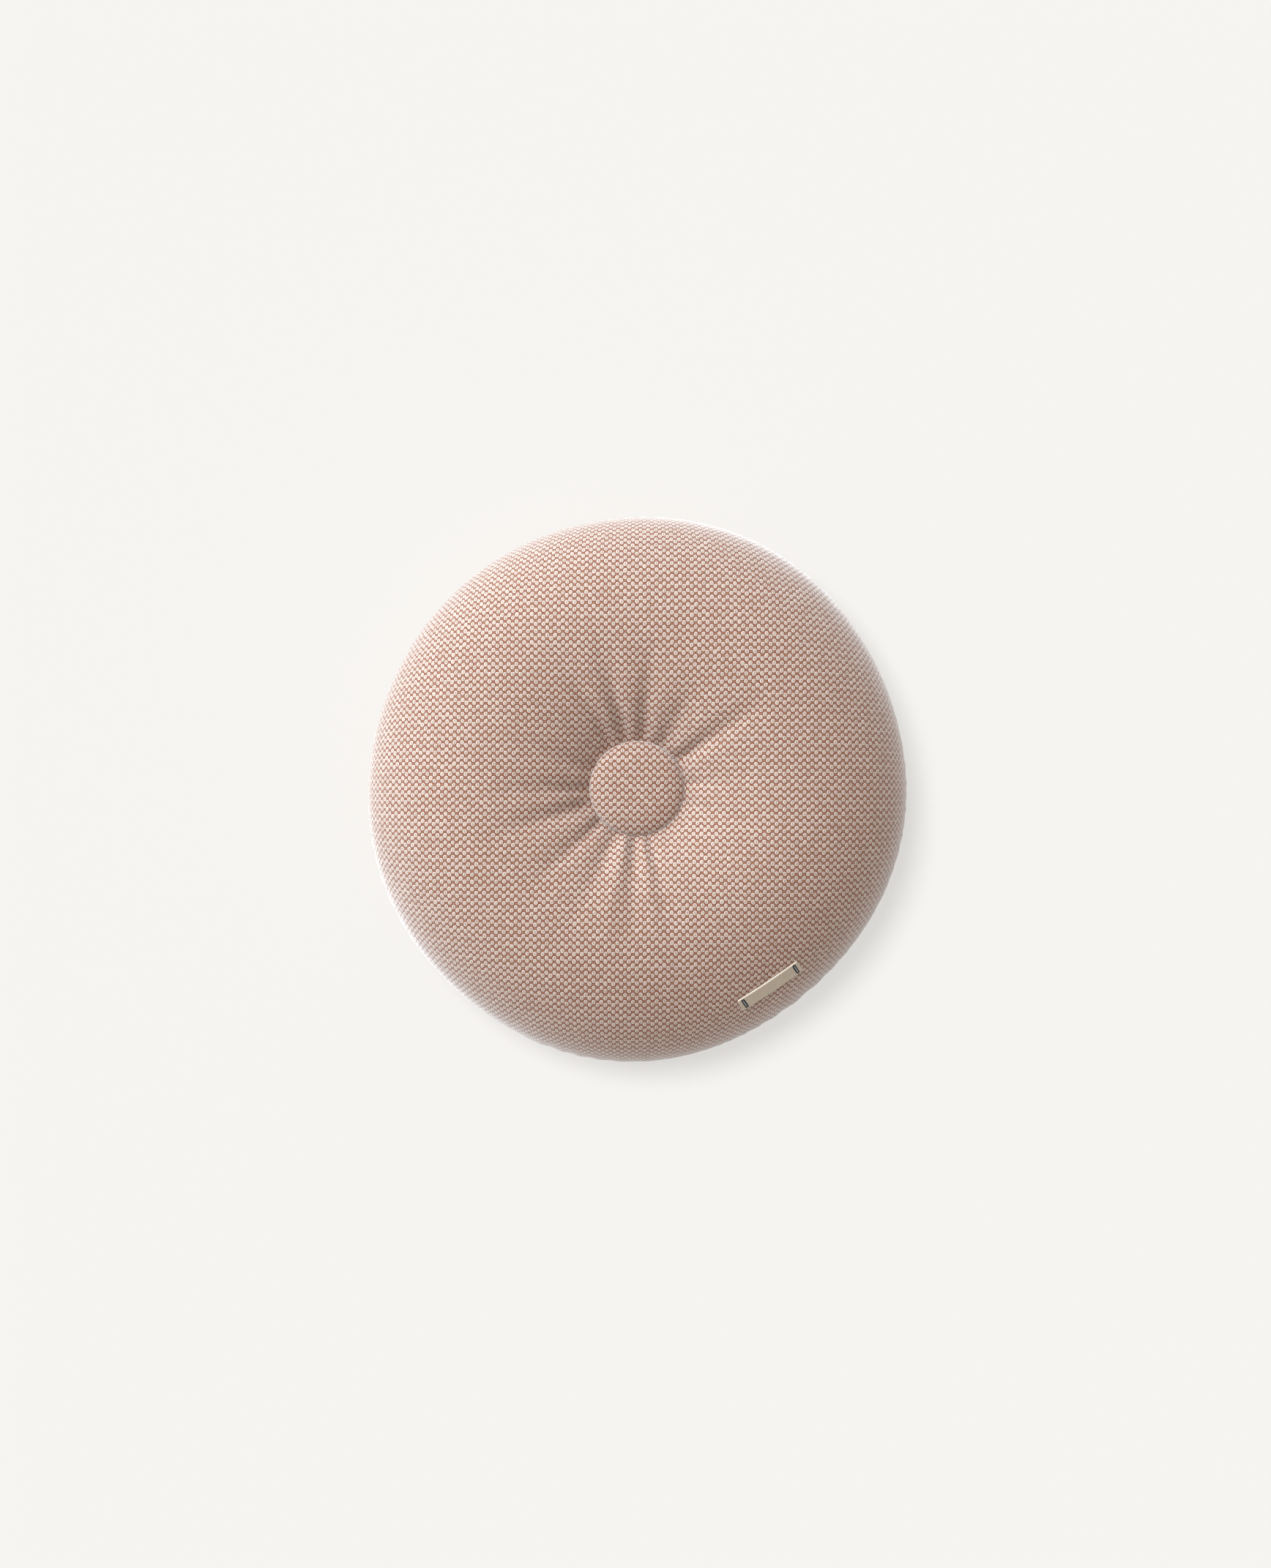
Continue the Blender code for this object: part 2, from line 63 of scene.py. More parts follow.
PAD_RADIUS = TOP_HIGH.x
SEAM_Z = TOP_LOW.z
CREST_Z = TOP_HIGH.z
BUTTON_RADIUS = CAP_HIGH.x
TOP_SEAT_Z = CAP_LOW.z
BOTTOM_SEAT_Z = UNDER_HIGH.z
LABEL_MIDDLE = (LABEL_LOW + LABEL_HIGH) / 2.0
LABEL_AZIMUTH = math.atan2(LABEL_MIDDLE.y, LABEL_MIDDLE.x)

# Outline of the pad, as shares of its radius
CREST_SHARE = 0.516             # highest ring of the top face
FOOT_INNER_SHARE = 0.395        # flat ring that the pad rests on
FOOT_OUTER_SHARE = 0.66
HOLE_RADIUS = 5.5 * MM          # opening under each button for its wire loop
SEAT_RADIUS = BUTTON_RADIUS - 1.5 * MM   # the cloth is flat under a button as far out as this
SEAT_SINK = 0.6 * MM            # cloth under a button lies this far from its seat plane
DIMPLE_POWER = 2.5              # more makes the dimple steeper next to the button
LIP = 1.6 * MM                  # rounding of the cloth where it turns in at the seam
SEAM_GAP = 0.1 * MM             # from the seam plane to the edge of each face

# Wobble of the outline: (times round, share of the radius, degrees of its crest)
OUTLINE_WAVES = ((2, 0.0105, 62.0), (4, 0.004, -7.0), (5, 0.004, -16.0))

# Soft lumps of the top face: (times round, height, phase in radians)
LUMPS = ((2.0, 1.4 * MM, 0.6), (3.0, 1.0 * MM, 2.2), (5.0, 0.7 * MM, 4.0))

# Grid of the cloth: coarse while it is swelled, then fine
SIM_STEPS = 160
SIM_RINGS = 38
ROUND_STEPS = 320
RINGS = 72
FILLING_STEPS = 96
FILLING_RINGS = 24

CLOTH = 1.2 * MM
WADDING = 11.0 * MM
FOAM_GAP = 0.5 * MM             # between the wadding and the foam
PUCKERS = 83.0                  # round the seam
PUCKER = 0.45 * MM
FLOOR_GAP = 0.2 * MM            # the pad's lowest points stay this far above the floor

# Weave: repeat of the honeycomb across and along the cloth, and how far the cloth gives when sewn
WEAVE_ACROSS = 5.50 * MM
WEAVE_ALONG = 5.05 * MM
EASE = 0.98
BEAD_HALF_WIDTH = 1.43 * MM
BEAD_HALF_HEIGHT = 1.66 * MM
BEAD_SQUARENESS = 2.4           # 2 is an ellipse, more is squarer
BEAD_LEAN = 0.24

# Folds in the top face: degrees, half width, depth and reach from the axis in millimetres. A
# negative depth is a ridge.
TOP_FOLDS = (
    (34.5, 5.6, 5.6, 120.0),
    (60.0, 7.0, 3.6, 96.0),
    (84.0, 5.4, 5.4, 112.0),
    (104.0, 5.0, 7.2, 114.0),
    (120.5, 5.0, 5.8, 120.0),
    (138.0, 5.6, 3.8, 96.0),
    (158.0, 5.6, 3.4, 92.0),
    (181.0, 5.0, 5.0, 106.0),
    (198.0, 6.6, 5.8, 118.0),
    (222.5, 5.2, 4.0, 108.0),
    (244.5, 6.4, 2.5, 134.0),
    (257.5, 4.6, -2.6, 122.0),
    (268.0, 5.0, 3.0, 126.0),
    (277.0, 4.0, -2.0, 114.0),
    (284.0, 4.6, 2.6, 116.0),
    (306.0, 5.0, 1.8, 86.0),
    (326.0, 5.0, 1.6, 84.0),
    (343.0, 4.0, 1.6, 100.0),
    (5.0, 5.0, 1.6, 84.0),
)
BOTTOM_FOLD_COUNT = 15
BOTTOM_FOLDS = tuple(
    (
        turn * 360.0 / BOTTOM_FOLD_COUNT + 7.0 * math.sin(turn * 2.3),
        4.6, 3.4 + math.sin(turn * 1.7), 92.0,
    )
    for turn in range(BOTTOM_FOLD_COUNT)
)
FOLD_FADE = 1.3                 # more lets a fold run out sooner
FOLD_SHARPNESS = 1.7            # more gives a fold a flatter floor and steeper sides


def placed(name, data):
    """A new object with this data, in the scene."""
    made = bpy.data.objects.new(name, data)
    bpy.context.scene.collection.objects.link(made)
    return made


# ---------------------------------------------------------------- outline of the pad

def smooth(low, high, value):
    """0 at low and 1 at high, smoothly. low may be the larger of the two."""
    share = np.clip((value - low) / (high - low), 0.0, 1.0)
    return share * share * (3.0 - 2.0 * share)


def outline_scale(azimuth):
    """How far the outline stands out at this azimuth, against the plain circle."""
    total = np.ones_like(azimuth)
    for times, share, degrees in OUTLINE_WAVES:
        total += share * np.cos(times * azimuth - times * math.radians(degrees))
    return total


def section(level_radius, level_z, seat_z, side):
    """Dense (radius, height) points of one face from the middle hole to the seam.

    side is 1 for the top face and -1 for the bottom one. level_radius holds the radii between which
    the face is level, one and the same for the crest of the top face."""
    inner, outer = level_radius
    seat_r = np.linspace(HOLE_RADIUS, SEAT_RADIUS, 12)[:-1]
    seat = np.stack([seat_r, np.full_like(seat_r, seat_z)], axis=1)
    share = np.linspace(0.0, 1.0, 60)
    slope_r = SEAT_RADIUS + (inner - SEAT_RADIUS) * share
    slope = np.stack([slope_r, level_z + (seat_z - level_z) * (1.0 - share) ** DIMPLE_POWER], axis=1)
    turn = np.linspace(0.0, math.pi / 2.0, 120)
    if outer - inner < MM:
        turn = turn[1:]
    end_z = SEAM_Z + side * SEAM_GAP
    rim_r = outer + (PAD_RADIUS - outer) * np.sin(turn)
    rim_z = end_z + side * LIP + (level_z - end_z - side * LIP) * np.cos(turn)
    rim = np.stack([rim_r, rim_z], axis=1)
    bend = np.linspace(0.0, math.pi / 2.0, 12)[1:]
    lip_r = PAD_RADIUS - LIP + LIP * np.cos(bend)
    lip_z = end_z + side * LIP * (1.0 - np.sin(bend))
    lip = np.stack([lip_r, lip_z], axis=1)
    return np.concatenate([seat, slope, rim, lip])


def resampled(points, count):
    """The same line as evenly spaced points, with the distance of each from the pad's axis along
    the cloth."""
    steps = np.linalg.norm(np.diff(points, axis=0), axis=1)
    along = np.concatenate([[0.0], np.cumsum(steps)])
    wanted = np.linspace(0.0, along[-1], count)
    radius = np.interp(wanted, along, points[:, 0])
    height = np.interp(wanted, along, points[:, 1])
    return radius, height, wanted + points[0, 0]


def folds(azimuth, radius, pulls):
    """How far the cloth is pulled in at each point by the folds round a button, in metres."""
    total = np.zeros(np.broadcast(azimuth, radius).shape)
    for degrees, half_width, depth, reach in pulls:
        centre = math.radians(degrees)
        off = (azimuth - centre + math.pi) % (2.0 * math.pi) - math.pi
        lateral = radius * off
        outward = np.clip((radius - SEAT_RADIUS) / (reach * MM - SEAT_RADIUS), 0.0, 1.0)
        width = half_width * MM * (0.75 + 0.9 * outward)
        fade = (1.0 - outward) ** FOLD_FADE * smooth(-0.05, 0.12, outward)
        total += depth * MM * fade * np.exp(-((np.abs(lateral) / width) ** FOLD_SHARPNESS))
    return total


def surface_normals(points):
    """Unit normals of a polar grid of points, ring by ring."""
    across = np.gradient(points, axis=0)
    around = np.roll(points, -1, axis=1) - np.roll(points, 1, axis=1)
    normal = np.cross(across, around)
    length = np.linalg.norm(normal, axis=2, keepdims=True)
    return normal / np.maximum(length, 1e-12)


def refined(values, rings, steps):
    """The same smooth field on a finer polar grid, rings by steps."""
    waves = np.fft.rfft(values, axis=1)
    wide = np.fft.irfft(waves, n=steps, axis=1) * (steps / values.shape[1])
    place = np.linspace(0.0, len(values) - 1.0, rings)
    index = np.clip(place.astype(int), 0, len(values) - 2)
    share = (place - index)[:, None, None]
    near, far = wide[index], wide[index + 1]
    before = wide[np.maximum(index - 1, 0)]
    beyond = wide[np.minimum(index + 2, len(values) - 1)]
    near_slope = (far - before) / 2.0
    far_slope = (beyond - near) / 2.0
    square, cube = share ** 2, share ** 3
    return (
        near * (2.0 * cube - 3.0 * square + 1.0) + near_slope * (cube - 2.0 * square + share)
        + far * (3.0 * square - 2.0 * cube) + far_slope * (cube - square)
    )


class Face:
    """One face of the pad as a polar grid, from the hole under its button out to the seam."""

    def __init__(self, level_radius, level_z, seat_z, side, pulls):
        self.side = side
        self.pulls = pulls
        points = section(level_radius, level_z, seat_z, side)
        self.radius, self.height, self.flat = resampled(points, SIM_RINGS)
        self.azimuth = np.arange(SIM_STEPS) * 2.0 * math.pi / SIM_STEPS
        self.points = self.plain()

    def refine(self):
        """Goes over from the coarse grid to the fine one."""
        self.points = refined(self.points, RINGS, ROUND_STEPS)
        self.flat = np.linspace(self.flat[0], self.flat[-1], RINGS)
        self.azimuth = np.arange(ROUND_STEPS) * 2.0 * math.pi / ROUND_STEPS

    def plain(self):
        """The grid before anything is pulled or swelled: the section turned about the axis."""
        azimuth = self.azimuth[None, :]
        radius = self.radius[:, None]
        wobble = smooth(0.3 * PAD_RADIUS, 0.95 * PAD_RADIUS, radius)
        out = radius * (1.0 + (outline_scale(azimuth) - 1.0) * wobble)
        lumps = sum(high * np.sin(times * azimuth + phase) for times, high, phase in LUMPS)
        lift = lumps * smooth(0.3, 0.55, radius / PAD_RADIUS)
        lift = lift * smooth(1.0, 0.8, radius / PAD_RADIUS)
        height = self.height[:, None] + (lift if self.side > 0 else 0.0)
        height = np.broadcast_to(height, out.shape)
        return np.stack([out * np.cos(azimuth), out * np.sin(azimuth), height], axis=2)

    def outward(self):
        """Normals that point out of the pad."""
        normal = surface_normals(self.points)
        facing = normal[:, :, 2:3] * self.side
        return np.where(facing < 0.0, -normal, normal)

    def pull(self):
        """Draws the folds round the button into the cloth, and returns their depth."""
        radius = np.linalg.norm(self.points[:, :, :2], axis=2)
        azimuth = np.arctan2(self.points[:, :, 1], self.points[:, :, 0])
        depth = folds(azimuth, radius, self.pulls)
        mean = depth.mean(axis=1, keepdims=True)
        self.points = self.points - self.outward() * (depth - 0.9 * mean)[:, :, None]
        return depth

    def pucker(self):
        """Small puckers where the seam gathers the cloth, uneven round the pad."""
        azimuth = self.azimuth[None, :]
        uneven = azimuth + 0.05 * np.sin(5.0 * azimuth) + 0.03 * np.sin(11.0 * azimuth + 1.0)
        wave = np.sin(PUCKERS * uneven) * (0.6 + 0.4 * np.sin(7.0 * azimuth + 2.0))
        from_seam = (self.flat[-1] - self.flat)[:, None]
        fade = smooth(16.0 * MM, 4.0 * MM, from_seam)
        self.points = self.points + self.outward() * (PUCKER * wave * fade)[:, :, None]

    def drawn_in(self, depth):
        """A coarser copy of the face, drawn in towards the middle of the pad."""
        points = refined(self.points, FILLING_RINGS, FILLING_STEPS)
        points[:, :, :2] *= 1.0 - depth / PAD_RADIUS
        tall = CREST_Z - SEAM_Z if self.side > 0 else SEAM_Z
        points[:, :, 2] = SEAM_Z + (points[:, :, 2] - SEAM_Z) * (1.0 - depth / tall)
        points[:, :, 2] += self.side * 0.4 * MM
        return points

    def cloth_coordinates(self):
        """Where each point lies on the flat panel, in metres, for the weave."""
        flat = (self.flat * EASE)[:, None]
        azimuth = self.azimuth[None, :]
        return np.stack([flat * np.cos(azimuth), flat * np.sin(azimuth) * self.side], axis=2)


def grid_faces(rings, steps, flip, offset=0):
    """Quads of a polar grid whose points are numbered ring by ring."""
    faces = []
    for ring in range(rings - 1):
        for step in range(steps):
            after = (step + 1) % steps
            low = offset + ring * steps
            high = low + steps
            quad = (low + step, high + step, high + after, low + after)
            faces.append(quad[::-1] if flip else quad)
    return faces


# ---------------------------------------------------------------- cloth simulation

SIM_FRAMES = 20
SIM_PRESSURE = 24.0
SIM_CAP = 4.5 * MM              # no point moves further than this
PINNED_RADIUS = 1.12 * BUTTON_RADIUS
PINNED_FOLD = 3.0 * MM          # the cloth is held where a fold is at least this deep
EVENING_PASSES = 24
EVENING_SHARE = 0.8


def closed_mesh(name, upper, lower):
    """A closed body between two polar grids, joined along their outer rings and their inner ones."""
    rings, steps = upper.shape[:2]
    count = rings * steps
    faces = grid_faces(rings, steps, False)
    faces += grid_faces(len(lower), steps, True, count)
    outer = (rings - 1) * steps
    lower_outer = count + (len(lower) - 1) * steps
    for step in range(steps):
        after = (step + 1) % steps
        faces.append((outer + step, lower_outer + step, lower_outer + after, outer + after))
        faces.append((count + step, step, after, count + after))
    points = np.concatenate([upper.reshape(-1, 3), lower.reshape(-1, 3)])
    mesh = bpy.data.meshes.new(name)
    mesh.from_pydata(points.tolist(), [], faces)
    return placed(name, mesh)


def evened(grid, radius):
    """The movement with its small creases smoothed away towards the seam."""
    share = smooth(0.35 * PAD_RADIUS, 0.7 * PAD_RADIUS, radius)[:, None, None]
    for _ in range(EVENING_PASSES):
        around = (np.roll(grid, 1, axis=1) + np.roll(grid, -1, axis=1)) / 2.0
        grid = grid + (around - grid) * share * EVENING_SHARE
    return grid


def add_cloth(body):
    """Makes the body a light cloth bag with pressure inside and no weight, fixed where it is held."""
    cloth = body.modifiers.new("cloth", "CLOTH")
    settings = cloth.settings
    settings.quality = 6
    settings.mass = 0.02
    settings.tension_stiffness = 6.0
    settings.compression_stiffness = 6.0
    settings.shear_stiffness = 4.0
    settings.bending_stiffness = 0.15
    settings.use_pressure = True
    settings.uniform_pressure_force = SIM_PRESSURE
    settings.vertex_group_mass = "held"
    settings.effector_weights.gravity = 0.0
    cloth.point_cache.frame_start = 1
    cloth.point_cache.frame_end = SIM_FRAMES


def simulated_points(body):
    """Where the body's points are after the last frame of the simulation."""
    scene = bpy.context.scene
    for number in range(1, SIM_FRAMES + 1):
        scene.frame_set(number)
    shown = body.evaluated_get(bpy.context.evaluated_depsgraph_get())
    moved = np.empty(len(shown.data.vertices) * 3)
    shown.data.vertices.foreach_get("co", moved)
    scene.frame_set(1)
    return moved.reshape(-1, 3)


def swell(top, bottom, held_share):
    """Blows the closed cover up with cloth simulation. held_share says how firmly each point of the
    top face, and then of the bottom one, is held."""
    body = closed_mesh("swelling", top.points, bottom.points)
    held = body.vertex_groups.new(name="held")
    for number, weight in enumerate(held_share):
        if weight > 0.01:
            held.add([number], float(weight), "REPLACE")
    add_cloth(body)
    start = np.concatenate([top.points.reshape(-1, 3), bottom.points.reshape(-1, 3)])
    step = simulated_points(body) - start
    bpy.data.objects.remove(body)
    length = np.linalg.norm(step, axis=1, keepdims=True)
    step *= np.minimum(1.0, SIM_CAP / np.maximum(length, 1e-9))
    grids = step.reshape(2, *top.points.shape)
    for face, grid in zip((top, bottom), grids):
        face.points = face.points + evened(grid, face.radius)


# ---------------------------------------------------------------- material building

class Field:
    """A number in a node tree that can be reckoned with like an ordinary number."""

    def __init__(self, tree, socket):
        self.tree = tree
        self.socket = socket

    def math(self, operation, *others):
        node = self.tree.nodes.new("ShaderNodeMath")
        node.operation = operation
        for place, value in enumerate((self, *others)):
            if isinstance(value, Field):
                self.tree.links.new(value.socket, node.inputs[place])
            else:
                node.inputs[place].default_value = value
        return Field(self.tree, node.outputs[0])

    def __add__(self, other):
        return self.math("ADD", other)

    def __sub__(self, other):
        return self.math("SUBTRACT", other)

    def __mul__(self, other):
        return self.math("MULTIPLY", other)

    def __truediv__(self, other):
        return self.math("DIVIDE", other)

    def nearest(self):
        return self.math("ROUND")

    def size(self):
        return self.math("ABSOLUTE")

    def power(self, exponent):
        return self.math("POWER", exponent)

    def below(self, other):
        return self.math("LESS_THAN", other)

    def least(self, other):
        return self.math("MINIMUM", other)

    def most(self, other):
        return self.math("MAXIMUM", other)

    def ramp(self, low, high):
        """0 below low and 1 above high, smoothly. low may be the larger of the two."""
        node = self.tree.nodes.new("ShaderNodeMapRange")
        node.interpolation_type = "SMOOTHSTEP"
        swap = low > high
        node.inputs["From Min"].default_value = min(low, high)
        node.inputs["From Max"].default_value = max(low, high)
        node.inputs["To Min"].default_value = 1.0 if swap else 0.0
        node.inputs["To Max"].default_value = 0.0 if swap else 1.0
        self.tree.links.new(self.socket, node.inputs["Value"])
        return Field(self.tree, node.outputs["Result"])


def choose(pick, yes, no):
    """yes where pick is 1 and no where it is 0."""
    return no + (yes - no) * pick


def combine(x, y, z=0.0):
    """A vector socket from Fields or numbers."""
    node = x.tree.nodes.new("ShaderNodeCombineXYZ")
    for place, value in enumerate((x, y, z)):
        if isinstance(value, Field):
            x.tree.links.new(value.socket, node.inputs[place])
        else:
            node.inputs[place].default_value = value
    return node.outputs[0]


def chance(x, y, seed):
    """A number from 0 to 1 that differs from cell to cell."""
    node = x.tree.nodes.new("ShaderNodeTexWhiteNoise")
    x.tree.links.new(combine(x, y, seed), node.inputs["Vector"])
    return Field(x.tree, node.outputs["Value"])


def noise(tree, vector, scale, detail=2.0, stretch=(1.0, 1.0, 1.0)):
    """Cloudy noise over a vector socket, from 0 to 1."""
    mapping = tree.nodes.new("ShaderNodeMapping")
    mapping.inputs["Scale"].default_value = stretch
    tree.links.new(vector, mapping.inputs["Vector"])
    node = tree.nodes.new("ShaderNodeTexNoise")
    node.inputs["Scale"].default_value = scale
    node.inputs["Detail"].default_value = detail
    tree.links.new(mapping.outputs[0], node.inputs["Vector"])
    return Field(tree, node.outputs["Fac"])


def mixed(tree, share, first, second):
    """Colour between two, each a colour or a socket, by a Field from 0 to 1."""
    node = tree.nodes.new("ShaderNodeMix")
    node.data_type = "RGBA"
    tree.links.new(share.socket, node.inputs["Factor"])
    for place, value in (("A", first), ("B", second)):
        socket = next(s for s in node.inputs if s.name == place and s.type == "RGBA")
        if isinstance(value, tuple):
            socket.default_value = (*value, 1.0)
        else:
            tree.links.new(value, socket)
    return next(s for s in node.outputs if s.type == "RGBA")


def bump(tree, height, distance):
    """Normals of a relief that is distance high where the height Field is 1."""
    node = tree.nodes.new("ShaderNodeBump")
    node.inputs["Distance"].default_value = distance
    node.inputs["Strength"].default_value = 1.0
    tree.links.new(height.socket, node.inputs["Height"])
    return node.outputs["Normal"]


def principled(name, **values):
    """A new material, its node tree and its Principled shader, with plain values set on the shader."""
    made = bpy.data.materials.new(name)
    made.use_nodes = True
    shader = made.node_tree.nodes["Principled BSDF"]
    for socket, value in values.items():
        shader.inputs[socket.replace("_", " ")].default_value = value
    return made, made.node_tree, shader


# ---------------------------------------------------------------- materials

BEAD_PALE = (0.61, 0.49, 0.425)
BEAD_DEEP = (0.43, 0.33, 0.28)
# Darkest rust: the thread's own colour deepened by painted shade where the thread meets a bead.
THREAD_RUST_AND_SHADE = (0.140, 0.032, 0.011)
THREAD_ORANGE = (0.53, 0.275, 0.175)
SLIT_BROWN = (0.17, 0.105, 0.082)
COLUMN_OFFSET = 0.435           # of a repeat, between a column of beads and the next


def lattice(across, along):
    """Offset from the nearest bead of the honeycomb, in metres, and that bead's own number.

    Beads stand in columns, and every other column is shifted by half a repeat."""
    u = across / WEAVE_ACROSS
    v = along / WEAVE_ALONG
    even_u = u.nearest()
    even_v = v.nearest()
    odd_u = (u - 0.5).nearest() + 0.5
    odd_v = (v - COLUMN_OFFSET).nearest() + COLUMN_OFFSET
    even_x = (u - even_u) * WEAVE_ACROSS
    even_y = (v - even_v) * WEAVE_ALONG
    odd_x = (u - odd_u) * WEAVE_ACROSS
    odd_y = (v - odd_v) * WEAVE_ALONG
    even_far = even_x * even_x + even_y * even_y
    odd_far = odd_x * odd_x + odd_y * odd_y
    is_even = even_far.below(odd_far)
    x = choose(is_even, even_x, odd_x)
    y = choose(is_even, even_y, odd_y)
    cell_u = choose(is_even, even_u, odd_u)
    cell_v = choose(is_even, even_v, odd_v)
    return x, y, cell_u, cell_v


def cloth_place(tree):
    """Where a point lies on the flat cloth, across and along it in metres, a little uneven."""
    place = tree.nodes.new("ShaderNodeUVMap")
    place.uv_map = "weave"
    split = tree.nodes.new("ShaderNodeSeparateXYZ")
    tree.links.new(place.outputs[0], split.inputs[0])
    drift = noise(tree, place.outputs[0], 90.0, 1.0)
    across = Field(tree, split.outputs[0]) + (drift - 0.5) * (0.9 * MM)
    along = Field(tree, split.outputs[1]) + (drift - 0.5) * (0.6 * MM)
    return across, along


def bead_distance(x, y, wide, tall):
    """Distance from the middle of a bead that is 1 along its rim."""
    apart_x = (x / wide).size().power(BEAD_SQUARENESS)
    apart_y = (y / tall).size().power(BEAD_SQUARENESS)
    return (apart_x + apart_y).power(1.0 / BEAD_SQUARENESS)


def yarn_slit(x, y, tall):
    """The upright slit between the two yarns of a bead."""
    reach = (y.size() / (tall * 0.8)).ramp(1.0, 0.4)
    line = (x.size() / (0.45 * MM)).ramp(1.0, 0.2)
    return reach * line


def rust_and_painted_shade(x, y, apart):
    """The rust parts of the net: round the beads, through the crossings and beside the beads. Round
    each bead the rust is darkened past the thread's own colour as painted shade where the thread meets
    the bead's edge.
    """
    # The ring round each bead: rust thread, darkened as painted shade at the bead's edge.
    outline = (apart - 1.15).size().ramp(0.25, 0.09)
    from_crossing = (y.size() - WEAVE_ALONG / 2.0).size()
    middle_line = from_crossing.ramp(0.34 * MM, 0.10 * MM) * 0.85
    beside = x.size().ramp(0.75 * MM, 1.2 * MM) * 0.35
    return outline.most(middle_line).most(beside)


def woven_cloth(name):
    """Honeycomb weave: pale beads of paired yarns in a net of rust threads with orange crossings, the
    net darkened round each bead with painted shade.
    """
    made, tree, shader = principled(
        name,
        Sheen_Weight=1.0,
        Sheen_Roughness=0.44,
        Sheen_Tint=(0.97, 0.96, 0.97, 1.0),
        Specular_IOR_Level=0.35,
    )
    across, along = cloth_place(tree)
    x, y, cell_u, cell_v = lattice(across, along)
    size_luck = chance(cell_u, cell_v, 1.0)
    lean_luck = chance(cell_u, cell_v, 2.0)
    slit_luck = chance(cell_u, cell_v, 3.0)

    x = x + y * ((lean_luck - 0.5) * BEAD_LEAN)
    grown = size_luck * 0.10 + 0.95
    wide = grown * BEAD_HALF_WIDTH
    tall = grown * BEAD_HALF_HEIGHT
    apart = bead_distance(x, y, wide, tall)
    bead = apart.ramp(1.07, 0.95)
    dome = (apart.least(1.0).power(2.6) * -1.0 + 1.0).most(0.0).power(0.6)
    slit = yarn_slit(x, y, tall) * (slit_luck * 0.65 + 0.35)
    dark = rust_and_painted_shade(x, y, apart)
    fibre = noise(tree, combine(across, along), 1300.0, 3.0, (1.0, 0.4, 1.0))

    bead_shade = (size_luck * 0.06 + fibre * 0.94).ramp(0.25, 0.70)
    bead_colour = mixed(tree, bead_shade, BEAD_DEEP, BEAD_PALE)
    bead_colour = mixed(tree, slit * 0.8, bead_colour, SLIT_BROWN)
    thread_shade = dark * 0.9 + fibre * 0.25
    thread_colour = mixed(tree, thread_shade.least(1.0), THREAD_ORANGE, THREAD_RUST_AND_SHADE)
    colour = mixed(tree, bead, thread_colour, bead_colour)
    tree.links.new(colour, shader.inputs["Base Color"])

    height = dome * 0.8 - slit * 0.3 - dark * 0.12 + fibre * 0.12
    tree.links.new(bump(tree, height, 0.24 * MM), shader.inputs["Normal"])
    rough = fibre * 0.12 + 0.72
    tree.links.new(rough.socket, shader.inputs["Roughness"])
    return made


def label_leather(name, dark, light):
    """Smooth leather with fine grain, mottled between two colours."""
    made, tree, shader = principled(name, Specular_IOR_Level=0.4)
    place = tree.nodes.new("ShaderNodeTexCoord").outputs["Object"]
    cloud = noise(tree, place, 260.0, 3.0)
    grain = noise(tree, place, 2600.0, 2.0)
    tree.links.new(mixed(tree, cloud, dark, light), shader.inputs["Base Color"])
    tree.links.new(bump(tree, grain * 0.6 + cloud * 0.4, 0.12 * MM), shader.inputs["Normal"])
    tree.links.new((grain * 0.2 + 0.45).socket, shader.inputs["Roughness"])
    return made


def metal(name, colour, roughness, scale):
    """Bare metal with fine drawn or brushed marks."""
    made, tree, shader = principled(name, Metallic=1.0, Base_Color=(*colour, 1.0))
    place = tree.nodes.new("ShaderNodeTexCoord").outputs["Object"]
    marks = noise(tree, place, scale, 3.0, (1.0, 1.0, 6.0))
    tree.links.new((marks * 0.2 + (roughness - 0.1)).socket, shader.inputs["Roughness"])
    tree.links.new(bump(tree, marks, 0.03 * MM), shader.inputs["Normal"])
    return made


def fibres(name, dark, light, scale, depth):
    """Wadding, foam, thread or twine: one soft material with a mottled, fibrous surface."""
    made, tree, shader = principled(name, Sheen_Weight=0.3)
    place = tree.nodes.new("ShaderNodeTexCoord").outputs["Object"]
    tufts = noise(tree, place, scale, 4.0)
    tree.links.new(mixed(tree, tufts.ramp(0.3, 0.7), dark, light), shader.inputs["Base Color"])
    tree.links.new(bump(tree, tufts, depth), shader.inputs["Normal"])
    tree.links.new((tufts * 0.15 + 0.8).socket, shader.inputs["Roughness"])
    return made


# ---------------------------------------------------------------- pad

def grid_object(name, points, uv, faces, surface):
    """A polar grid of points as an object, with each point's place on the flat cloth."""
    mesh = bpy.data.meshes.new(name)
    mesh.from_pydata(points.reshape(-1, 3).tolist(), [], faces)
    layer = mesh.uv_layers.new(name="weave")
    flat = uv.reshape(-1, 2)
    corners = np.empty(len(mesh.loops), dtype=np.int32)
    mesh.loops.foreach_get("vertex_index", corners)
    layer.data.foreach_set("uv", flat[corners].ravel())
    mesh.shade_smooth()
    mesh.materials.append(surface)
    return placed(name, mesh)


def cover_piece(face, name, node, surface):
    """One cloth panel of the cover, one cloth thick."""
    faces = grid_faces(RINGS, ROUND_STEPS, face.side < 0)
    made = grid_object(name, face.points, face.cloth_coordinates(), faces, surface)
    thick = made.modifiers.new("cloth", "SOLIDIFY")
    thick.thickness = CLOTH
    thick.offset = -1.0
    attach(made, "pad")
    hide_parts(node)


